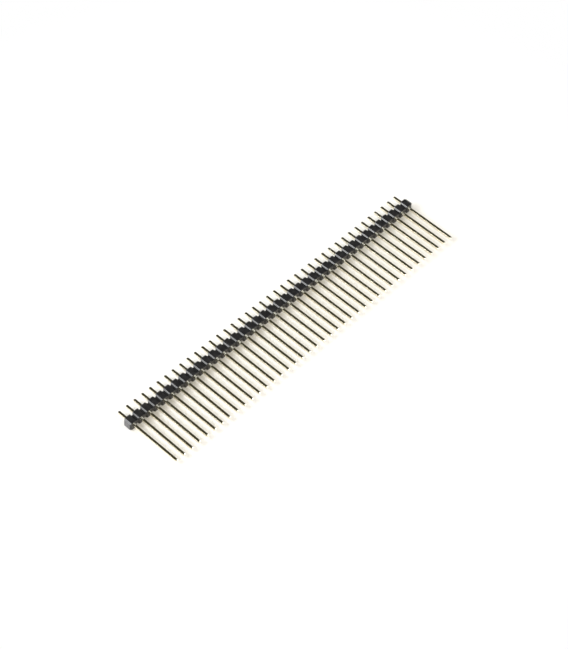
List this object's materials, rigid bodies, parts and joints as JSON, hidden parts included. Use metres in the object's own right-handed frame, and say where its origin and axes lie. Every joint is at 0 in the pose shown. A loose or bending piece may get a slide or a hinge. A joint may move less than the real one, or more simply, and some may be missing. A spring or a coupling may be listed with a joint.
{
  "type": "pin header strip",
  "caption": "Straight single-row pin header: a black moulded bar of snap-apart segments that carries square gold-plated pins, short on the board side and extra long on the mating side.",
  "frame": {"origin": "middle of the housing's board face, on the line of the pin centres", "axes": "+X along the row, +Y out of the board face along the short tails, +Z across the bar, up as the strip lies"},
  "size_m": [0.1016, 0.02, 0.0024],
  "materials": {
    "housing_plastic": "satin moulded",
    "pin_plating": "bright thin gold plate over square brass wire"
  },
  "bodies": {
    "root": {"housing": "housing_plastic", "pin_01": "pin_plating", "pin_02": "pin_plating", "pin_03": "pin_plating", "pin_04": "pin_plating", "pin_05": "pin_plating", "pin_06": "pin_plating", "pin_07": "pin_plating", "pin_08": "pin_plating", "pin_09": "pin_plating", "pin_10": "pin_plating", "pin_11": "pin_plating", "pin_12": "pin_plating", "pin_13": "pin_plating", "pin_14": "pin_plating", "pin_15": "pin_plating", "pin_16": "pin_plating", "pin_17": "pin_plating", "pin_18": "pin_plating", "pin_19": "pin_plating", "pin_20": "pin_plating", "pin_21": "pin_plating", "pin_22": "pin_plating", "pin_23": "pin_plating", "pin_24": "pin_plating", "pin_25": "pin_plating", "pin_26": "pin_plating", "pin_27": "pin_plating", "pin_28": "pin_plating", "pin_29": "pin_plating", "pin_30": "pin_plating", "pin_31": "pin_plating", "pin_32": "pin_plating", "pin_33": "pin_plating", "pin_34": "pin_plating", "pin_35": "pin_plating", "pin_36": "pin_plating", "pin_37": "pin_plating", "pin_38": "pin_plating", "pin_39": "pin_plating", "pin_40": "pin_plating"}
  },
  "joints": []
}
